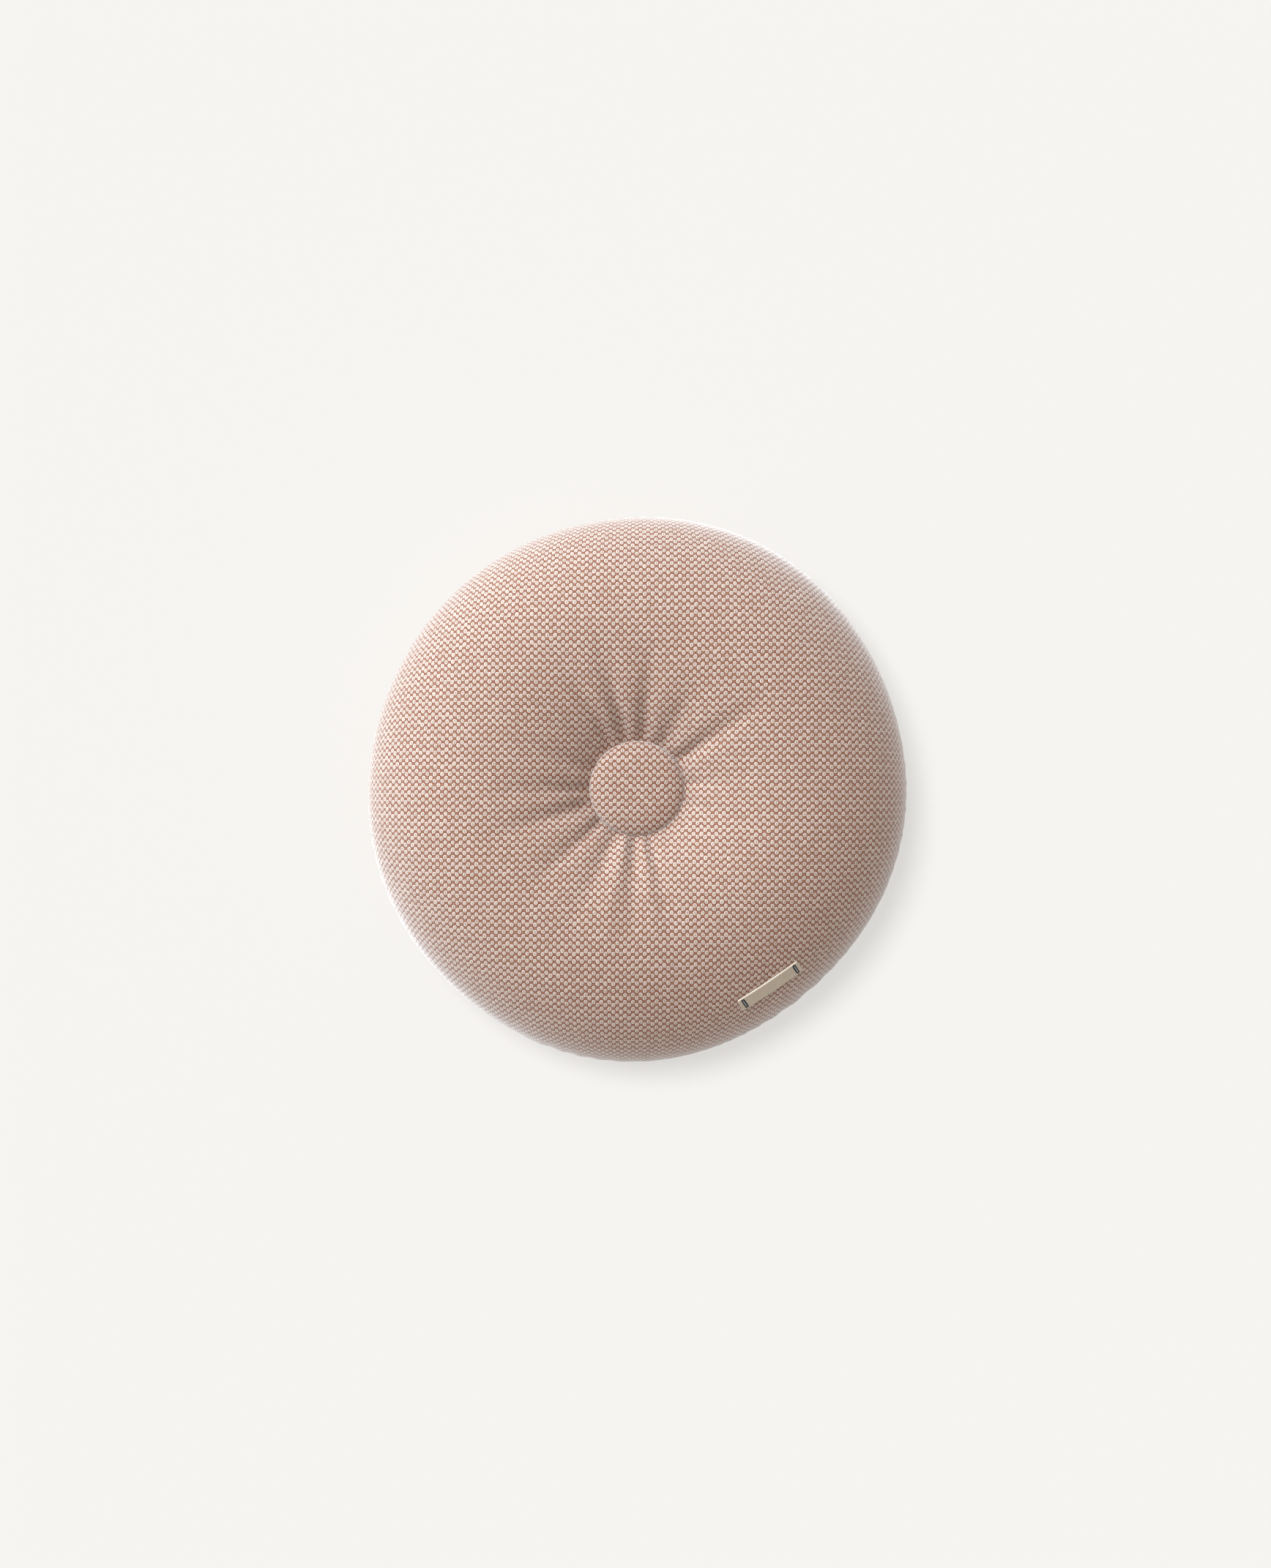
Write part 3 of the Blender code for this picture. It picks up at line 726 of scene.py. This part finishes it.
def held_share(face, depth):
    """How firmly each point of the cloth is held while it swells, from 0 to 1."""
    radius = np.linalg.norm(face.points[:, :, :2], axis=2)
    under_button = smooth(PINNED_RADIUS * 1.12, PINNED_RADIUS, radius)
    in_fold = smooth(0.5 * PINNED_FOLD, PINNED_FOLD, depth)
    at_seam = smooth(14.0 * MM, 5.0 * MM, face.flat[-1] - face.flat)[:, None]
    return np.maximum(np.maximum(under_button, in_fold), at_seam).ravel()


def filling(name, node, upper, lower, surface):
    """Wadding or foam as the closed body between two surfaces."""
    made = closed_mesh(name, upper, lower)
    made.data.shade_smooth()
    made.data.materials.append(surface)
    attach(made, "pad")
    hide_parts(node)


def build_pad(surface):
    """Both panels and the filling. Returns the top face, which the label lies on."""
    crest = CREST_SHARE * PAD_RADIUS
    top = Face((crest, crest), CREST_Z, TOP_SEAT_Z - SEAT_SINK, 1, TOP_FOLDS)
    foot = (FOOT_INNER_SHARE * PAD_RADIUS, FOOT_OUTER_SHARE * PAD_RADIUS)
    bottom = Face(foot, 0.0, BOTTOM_SEAT_Z + SEAT_SINK, -1, BOTTOM_FOLDS)
    held = [held_share(face, face.pull()) for face in (top, bottom)]
    swell(top, bottom, np.concatenate(held))
    for face in (top, bottom):
        face.refine()
        face.pucker()
    bottom.points[:, :, 2] = np.maximum(bottom.points[:, :, 2], FLOOR_GAP)
    cover_piece(top, "top_panel", "top_cover", surface)
    cover_piece(bottom, "bottom_panel", "bottom_cover", surface)

    fluff = fibres("wadding_fluff", (0.72, 0.71, 0.69), (0.88, 0.88, 0.87), 900.0, 0.8 * MM)
    sponge = fibres("foam_cells", (0.62, 0.56, 0.40), (0.80, 0.75, 0.60), 1400.0, 0.5 * MM)
    over = 2.0 * CLOTH
    under = over + WADDING
    top_inner, bottom_inner = top.drawn_in(under), bottom.drawn_in(under)
    filling("top_fluff", "top_wadding", top.drawn_in(over), top_inner, fluff)
    filling("bottom_fluff", "bottom_wadding", bottom_inner, bottom.drawn_in(over), fluff)
    filling(
        "sponge", "foam_core",
        top.drawn_in(under + FOAM_GAP), bottom.drawn_in(under + FOAM_GAP), sponge,
    )
    return top


# ---------------------------------------------------------------- buttons

BUTTON_STEPS = 128
BUTTON_CLOTH = 0.9 * MM
BUTTON_RIM_SHARE = 0.27         # height of its widest ring, as a share of its rise
DOME_SHARPNESS = 2.7            # 2 is an ellipse, more is a flatter top with a tighter edge
BUTTON_TURN_IN = 2.4 * MM       # of the cloth below the widest ring
BUTTON_HEM = 3.4 * MM           # from the widest ring in to the hem
BUTTON_WEAVE_SHIFT = (1.7 * MM, 0.9 * MM)


def button_section(rise):
    """Distance from the axis and height above the seat, from the top of the dome to the hem."""
    rim = BUTTON_RIM_SHARE * rise
    power = 2.0 / DOME_SHARPNESS
    turn = np.linspace(0.0, math.pi / 2.0, 26)
    dome_r = BUTTON_RADIUS * np.sin(turn) ** power
    dome_z = rim + (rise - rim) * np.maximum(np.cos(turn), 0.0) ** power
    under = np.linspace(0.0, math.pi / 2.0, 8)[1:]
    under_r = BUTTON_RADIUS - BUTTON_TURN_IN * (1.0 - np.cos(under))
    under_z = rim - rim * np.sin(under)
    radius = np.concatenate([dome_r, under_r, [BUTTON_RADIUS - BUTTON_HEM]])
    height = np.concatenate([dome_z, under_z, [0.0]])
    return radius, height


def button_mesh(name, radius, height, seat, side):
    """The section turned about the axis, with each corner's place on the flat cloth."""
    bm = bmesh.new()
    layer = bm.loops.layers.uv.new("weave")
    flat = np.concatenate([[0.0], np.cumsum(np.hypot(np.diff(radius), np.diff(height)))])
    angles = [2.0 * math.pi * step / BUTTON_STEPS for step in range(BUTTON_STEPS + 1)]
    rings = [
        [bm.verts.new((r * math.cos(a), r * math.sin(a), seat + side * z)) for a in angles[:-1]]
        for r, z in zip(radius[1:], height[1:])
    ]
    peak = bm.verts.new((0.0, 0.0, seat + side * height[0]))

    def spot(ring, step):
        return (
            flat[ring] * math.cos(angles[step]) + BUTTON_WEAVE_SHIFT[0],
            flat[ring] * math.sin(angles[step]) * side + BUTTON_WEAVE_SHIFT[1],
        )

    def add_face(corners, places):
        for loop, place in zip(bm.faces.new(corners).loops, places):
            loop[layer].uv = place

    for step in range(BUTTON_STEPS):
        after = (step + 1) % BUTTON_STEPS
        places = (BUTTON_WEAVE_SHIFT, spot(1, step), spot(1, step + 1))
        add_face((peak, rings[0][step], rings[0][after]), places)
        for index, (near, far) in enumerate(zip(rings, rings[1:]), 1):
            places = (
                spot(index, step), spot(index + 1, step),
                spot(index + 1, step + 1), spot(index, step + 1),
            )
            add_face((near[step], far[step], far[after], near[after]), places)
    bmesh.ops.recalc_face_normals(bm, faces=bm.faces)
    mesh = bpy.data.meshes.new(name)
    bm.to_mesh(mesh)
    bm.free()
    mesh.shade_smooth()
    return mesh


def button_cloth(prefix, body, surface):
    """Cloth of a covered button: a low dome drawn over the shell's edge and turned under."""
    low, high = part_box(prefix + "_button_cap")
    side = 1.0 if prefix == "top" else -1.0
    seat = low.z if side > 0 else high.z
    radius, height = button_section(high.z - low.z)
    name = prefix + "_button_cloth"
    mesh = button_mesh(name, radius, height, seat, side)
    mesh.materials.append(surface)
    made = placed(name, mesh)
    thick = made.modifiers.new("cloth", "SOLIDIFY")
    thick.thickness = BUTTON_CLOTH
    thick.offset = -1.0
    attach(made, body)
    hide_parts(prefix + "_button_cap")


# ---------------------------------------------------------------- label and staples

LABEL_LENGTH = 50.0 * MM
LABEL_WIDTH = 10.0 * MM
LABEL_THICKNESS = 1.4 * MM
LABEL_CORNER = 1.2 * MM
LABEL_EDGE = 0.4 * MM           # rounding along its upper edges
STAPLE_REACH = 21.4 * MM        # from the label's middle to each staple
STAPLE_HALF_WIDTH = 3.1 * MM
STAPLE_WIRE_RADIUS = 0.42 * MM
STAPLE_DEPTH = 3.0 * MM         # of the clinched points below the cloth
STAPLE_BEND = 0.8 * MM
STAPLE_TIP = 0.9 * MM           # half the space between the two clinched points
SLOT_HALF_LENGTH = 4.1 * MM
SLOT_HALF_WIDTH = 1.0 * MM
SLOT_DEPTH = 0.9 * MM


class Bed:
    """The patch of swelled cloth under the label. X runs along the label, Y up the slope and Z out."""

    def __init__(self, top):
        grid = top.points.reshape(-1, 3)
        faces = grid_faces(RINGS, ROUND_STEPS, False)
        self.cloth = BVHTree.FromPolygons(grid.tolist(), faces)
        middle = Vector(LABEL_MIDDLE)
        place, normal, _, _ = self.cloth.find_nearest(middle)
        outward = Vector((math.cos(LABEL_AZIMUTH), math.sin(LABEL_AZIMUTH), 0.0))
        along = Vector((0.0, 0.0, 1.0)).cross(outward)
        along = (along - normal * along.dot(normal)).normalized()
        across = normal.cross(along)
        turn = Matrix((along, across, normal)).transposed().to_4x4()
        self.matrix = Matrix.Translation(place) @ turn
        self.normal = normal
        self.bend = self.fit()

    def cloth_height(self, x, y):
        start = self.matrix @ Vector((x, y, 20.0 * MM))
        hit = self.cloth.ray_cast(start, -self.normal)[0]
        return (self.matrix.inverted() @ hit).z

    def fit(self):
        """A parabola along the label that rests on the highest points of the cloth."""
        stations = np.linspace(-LABEL_LENGTH / 2.0, LABEL_LENGTH / 2.0, 21)
        sides = np.linspace(-LABEL_WIDTH / 2.0, LABEL_WIDTH / 2.0, 7)
        top = np.array([max(self.cloth_height(x, y) for y in sides) for x in stations])
        curve = np.polyfit(stations, top, 2)
        curve[2] += (top - np.polyval(curve, stations)).max() + 0.1 * MM
        return curve

    def base(self, x):
        return np.polyval(self.bend, x)


def label_half_width(x):
    """Half the label's width at x, less towards its rounded corners."""
    into = np.clip(np.abs(x) - (LABEL_LENGTH / 2.0 - LABEL_CORNER), 0.0, LABEL_CORNER)
    return LABEL_WIDTH / 2.0 - LABEL_CORNER + np.sqrt(LABEL_CORNER ** 2 - into ** 2)


def edge_spaced(half, margin, count):
    """Positions from -half to half, close together within margin of both ends."""
    edge = half - margin * np.sin(np.linspace(0.0, math.pi / 2.0, 5))[::-1]
    middle = np.linspace(-(half - margin), half - margin, count)[1:-1]
    return np.concatenate([-edge[::-1], middle, edge])


def slot_sink(x, y):
    """Depth of the pressed slots round the staples."""
    total = np.zeros_like(x)
    for centre in (-STAPLE_REACH, STAPLE_REACH):
        beyond = np.maximum(np.abs(y) - (SLOT_HALF_LENGTH - SLOT_HALF_WIDTH), 0.0)
        distance = np.hypot(x - centre, beyond)
        total += SLOT_DEPTH * smooth(SLOT_HALF_WIDTH + 0.25 * MM, SLOT_HALF_WIDTH - 0.2 * MM, distance)
    return total


def strip_shape(bed):
    """Upper and lower points of the strip, how near its edge each is, and which lie in a slot."""
    xs = edge_spaced(LABEL_LENGTH / 2.0, LABEL_EDGE, 150)
    ys = edge_spaced(1.0, LABEL_EDGE / (LABEL_WIDTH / 2.0), 44)
    half_width = label_half_width(xs)[:, None]
    x = np.repeat(xs[:, None], len(ys), axis=1)
    y = ys[None, :] * half_width
    end_gap = LABEL_LENGTH / 2.0 - np.abs(x)
    side_gap = half_width - np.abs(y)
    near_edge = np.clip(np.minimum(end_gap, side_gap) / LABEL_EDGE, 0.0, 1.0)
    rounding = LABEL_EDGE * (1.0 - np.sqrt(1.0 - (1.0 - near_edge) ** 2))
    base = bed.base(x)
    sink = slot_sink(x, y)
    upper = np.stack([x, y, base + LABEL_THICKNESS - rounding - sink], axis=2)
    lower = np.stack([x, y, base], axis=2)
    return upper, lower, near_edge, sink > 0.12 * SLOT_DEPTH


def strip_faces(near_edge, in_slot):
    """Faces of the strip, and the material of each: 0 grain, 1 cut edge and 2 slot, painted near black
    as the shade in the slot round a staple.
    """
    rows, columns = near_edge.shape
    count = rows * columns
    faces = []
    looks = []
    for row in range(rows - 1):
        for column in range(columns - 1):
            first = row * columns + column
            quad = (first, first + columns, first + columns + 1, first + 1)
            faces.append(quad)
            if in_slot[row:row + 2, column:column + 2].any():
                looks.append(2)
            else:
                looks.append(int(near_edge[row:row + 2, column:column + 2].min() < 0.75))
            faces.append(tuple(number + count for number in quad[::-1]))
            looks.append(0)
    border = list(range(columns))
    border += [row * columns + columns - 1 for row in range(1, rows)]
    border += [(rows - 1) * columns + column for column in range(columns - 2, -1, -1)]
    border += [row * columns for row in range(rows - 2, 0, -1)]
    for near, far in zip(border, border[1:] + border[:1]):
        faces.append((near, far, far + count, near + count))
        looks.append(1)
    return faces, looks


def label_leather_strip(bed, surfaces):
    """Leather strip laid on the cloth, with rounded edges and a pressed slot for each staple. The
    slots are painted near black as shade.
    """
    upper, lower, near_edge, in_slot = strip_shape(bed)
    faces, looks = strip_faces(near_edge, in_slot)
    mesh = bpy.data.meshes.new("leather_label")
    points = np.concatenate([upper.reshape(-1, 3), lower.reshape(-1, 3)])
    mesh.from_pydata(points.tolist(), [], faces)
    for surface in surfaces:
        mesh.materials.append(surface)
    mesh.polygons.foreach_set("material_index", looks)
    mesh.shade_smooth()
    mesh.transform(bed.matrix)
    made = placed("leather_label", mesh)
    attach(made, "pad")
    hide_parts("label_strip")


def wire_path(name, points, wire_radius, resolution, surface):
    """Round wire along points, each (x, y, z), with open ends."""
    curve = bpy.data.curves.new(name, "CURVE")
    curve.dimensions = "3D"
    curve.bevel_depth = wire_radius
    curve.bevel_resolution = resolution
    curve.materials.append(surface)
    spline = curve.splines.new("POLY")
    spline.points.add(len(points) - 1)
    for point, place in zip(spline.points, points):
        point.co = (*place, 1.0)
    return curve


def wire_staple(name, node, bed, x, surface):
    """Round wire staple: crown in its slot, legs through the label, points clinched in the pad."""
    crown = bed.base(x) + LABEL_THICKNESS - 0.15 * MM
    low = -STAPLE_DEPTH
    bend = STAPLE_BEND
    inner = STAPLE_HALF_WIDTH - bend
    turn = np.linspace(0.0, math.pi / 2.0, 5)
    half = [(STAPLE_TIP, low)]
    half += [(inner + bend * math.sin(t), low + bend - bend * math.cos(t)) for t in turn]
    half += [(inner + bend * math.cos(t), crown - bend + bend * math.sin(t)) for t in turn]
    path = half + [(-y, z) for y, z in reversed(half)]
    points = [bed.matrix @ Vector((x, y, z)) for y, z in path]
    curve = wire_path(name, points, STAPLE_WIRE_RADIUS, 3, surface)
    curve.use_fill_caps = True
    made = placed(name, curve)
    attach(made, "pad")
    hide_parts(node)


def build_label(top):
    bed = Bed(top)
    grain = label_leather("label_grain", (0.46, 0.38, 0.295), (0.57, 0.48, 0.385))
    cut_edge = label_leather("label_cut_edge", (0.62, 0.54, 0.45), (0.72, 0.65, 0.56))
    # Slot faces near black: painted shade in the gap round each staple wire.
    slot = label_leather("label_slot_painted_shade", (0.05, 0.045, 0.045), (0.09, 0.08, 0.078))
    label_leather_strip(bed, (grain, cut_edge, slot))
    steel = metal("staple_steel", (0.42, 0.47, 0.53), 0.32, 500.0)
    wire_staple("left_staple_wire", "left_staple", bed, -STAPLE_REACH, steel)
    wire_staple("right_staple_wire", "right_staple", bed, STAPLE_REACH, steel)


# ---------------------------------------------------------------- seam and hidden metal

STITCHES = 240
STITCH_POINTS = 8               # of the thread's path, for each stitch
ALLOWANCE_INSET = 8.0 * MM      # of the raw edges from the outline
ALLOWANCE_RISE = 7.0 * MM       # of the raw edges above the seam


def overlock(surface):
    """Overlock thread wound round the two raw edges of the seam allowance, inside the pad."""
    turns = np.arange(STITCHES * STITCH_POINTS) / STITCH_POINTS
    azimuth = turns * 2.0 * math.pi / STITCHES
    round_edge = turns * 2.0 * math.pi
    radius = PAD_RADIUS * outline_scale(azimuth) - ALLOWANCE_INSET + 1.4 * MM * np.cos(round_edge)
    height = SEAM_Z + ALLOWANCE_RISE + 2.2 * MM * np.sin(round_edge)
    points = [(r * math.cos(a), r * math.sin(a), z) for a, r, z in zip(azimuth, radius, height)]
    curve = wire_path("overlock_thread", points, 0.3 * MM, 1, surface)
    curve.splines[0].use_cyclic_u = True
    made = placed("overlock_thread", curve)
    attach(made, "pad")
    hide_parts("seam_thread")


def dress(node, surface):
    """Gives a CAD node that stays its finished material."""
    body = bpy.data.objects[node]
    for place in body.material_slots:
        place.link = "OBJECT"
        place.material = surface


def dress_hidden():
    """Materials of the CAD nodes that stay: the insides of the buttons, and the twine."""
    zinc = metal("zinc_sheet", (0.62, 0.63, 0.65), 0.45, 220.0)
    steel = metal("loop_steel", (0.55, 0.56, 0.58), 0.35, 500.0)
    for side in ("top", "bottom"):
        dress(side + "_button_shell", zinc)
        dress(side + "_button_back_plate", zinc)
        dress(side + "_button_wire_loop", steel)
    twine = fibres("waxed_fibre", (0.50, 0.44, 0.36), (0.72, 0.66, 0.56), 1800.0, 0.2 * MM)
    dress("tufting_twine", twine)


# ---------------------------------------------------------------- studio

AMBIENT_COLOUR = (1.0, 0.985, 0.95, 1.0)
AMBIENT_STRENGTH = 0.38
BACKDROP_COLOUR = (0.922, 0.905, 0.871, 1.0)   # past the floor's edge, as pale as the lit floor
PAPER_COLOUR = (0.22, 0.2189, 0.2178, 1.0)
TABLE_HALF = 6.0

FLOOR_LIGHT = (1.0, 0.99, 0.965)
SIDE_LIGHT = (0.96, 1.11, 1.22)
# Suns: degrees round the pad, degrees up, strength, degrees across and colour
SUNS = {
    "overhead": (132.0, 72.0, 1.6, 30.0, (1.03, 0.97, 0.92)),
    "table": (0.0, 90.0, 6.0, 10.0, FLOOR_LIGHT),
    "under": (0.0, 90.0, 2.8, 11.0, FLOOR_LIGHT),
    "cast": (137.0, 70.0, 3.3, 21.0, FLOOR_LIGHT),
    "side": (137.0, 23.0, 3.7, 52.0, SIDE_LIGHT),
    "edge": (137.0, 4.0, 0.95, 96.0, SIDE_LIGHT),
}

CAMERA_LENS = 85.0
CAMERA_SENSOR = 36.0            # spans the height of the frame, its longer side
CAMERA_SHIFT = (-1.0 * MM, 3.0 * MM)     # of the camera from the pad's axis
FRAME_IN_DIAMETERS = 2.91033    # height of the frame, in pad diameters


def toward(azimuth, elevation):
    """Unit vector to a light, both angles in degrees."""
    azimuth, elevation = math.radians(azimuth), math.radians(elevation)
    level = math.cos(elevation)
    return Vector((math.cos(azimuth) * level, math.sin(azimuth) * level, math.sin(elevation)))


def soft_sun(name, azimuth, elevation, energy, spread, colour):
    data = bpy.data.lights.new(name, "SUN")
    data.energy = energy
    data.angle = math.radians(spread)
    data.color = colour
    made = placed(name, data)
    made.rotation_euler = toward(azimuth, elevation).to_track_quat("Z", "Y").to_euler()
    return made


def group(name, members):
    """A collection of objects, for light linking."""
    made = bpy.data.collections.new(name)
    for member in members:
        made.objects.link(member)
    return made


def surroundings():
    """Even light from all round. The camera sees a plain pale backdrop in its place."""
    world = bpy.data.worlds.new("studio")
    world.use_nodes = True
    bpy.context.scene.world = world
    tree = world.node_tree
    ambient = tree.nodes["Background"]
    ambient.inputs["Color"].default_value = AMBIENT_COLOUR
    ambient.inputs["Strength"].default_value = AMBIENT_STRENGTH
    backdrop = tree.nodes.new("ShaderNodeBackground")
    backdrop.inputs["Color"].default_value = BACKDROP_COLOUR
    path = tree.nodes.new("ShaderNodeLightPath")
    either = tree.nodes.new("ShaderNodeMixShader")
    tree.links.new(path.outputs["Is Camera Ray"], either.inputs[0])
    tree.links.new(ambient.outputs[0], either.inputs[1])
    tree.links.new(backdrop.outputs[0], either.inputs[2])
    tree.links.new(either.outputs[0], tree.nodes["World Output"].inputs["Surface"])


def paper_floor():
    """Plain paper that the pad lies on."""
    half = TABLE_HALF
    mesh = bpy.data.meshes.new("table")
    corners = [(-half, -half, 0.0), (half, -half, 0.0), (half, half, 0.0), (-half, half, 0.0)]
    mesh.from_pydata(corners, [], [(0, 1, 2, 3)])
    paper, _, _ = principled(
        "table_paper", Base_Color=PAPER_COLOUR, Roughness=0.95, Specular_IOR_Level=0.1
    )
    mesh.materials.append(paper)
    floor = placed("table", mesh)
    return floor


def lights(pieces, floor):
    """Overhead, side and edge light the pieces only, and the other three the floor only.

    The pad shades itself from side and edge, and the buttons shade nothing from them. Table lights
    the floor under the pad too, while under and cast leave the pad's shadow on it."""
    suns = {name: soft_sun(name, *values) for name, values in SUNS.items()}
    all_pieces = group("all_pieces", pieces)
    shading = group("shading", [made for made in pieces if "button" not in made.name])
    floor_only = group("floor_only", [floor])
    for name in ("overhead", "side", "edge"):
        suns[name].visible_glossy = False
        suns[name].light_linking.receiver_collection = all_pieces
    for name in ("side", "edge"):
        suns[name].light_linking.blocker_collection = shading
    for name in ("table", "under", "cast"):
        suns[name].light_linking.receiver_collection = floor_only
    suns["table"].light_linking.blocker_collection = floor_only


def studio():
    """Plain pale floor and backdrop, and the lights."""
    scene = bpy.context.scene
    scene.view_settings.view_transform = "Standard"
    scene.view_settings.look = "None"
    pieces = [made for made in scene.objects if made.type in {"MESH", "CURVE"}]
    surroundings()
    lights(pieces, paper_floor())


def camera():
    """Straight above the pad, with a long lens."""
    data = bpy.data.cameras.new("camera")
    data.lens = CAMERA_LENS
    data.sensor_width = CAMERA_SENSOR
    data.clip_end = 50.0
    made = placed("camera", data)
    distance = FRAME_IN_DIAMETERS * 2.0 * PAD_RADIUS * CAMERA_LENS / CAMERA_SENSOR
    made.location = (*CAMERA_SHIFT, SEAM_Z + distance)
    bpy.context.scene.camera = made


# ---------------------------------------------------------------- assembly

def main():
    cloth = woven_cloth("honeycomb_weave")
    top = build_pad(cloth)
    button_cloth("top", "top_button", cloth)
    button_cloth("bottom", "bottom_button", cloth)
    build_label(top)
    overlock(fibres("polyester_thread", (0.42, 0.20, 0.15), (0.62, 0.36, 0.28), 2400.0, 0.1 * MM))
    dress_hidden()
    camera()
    studio()


main()
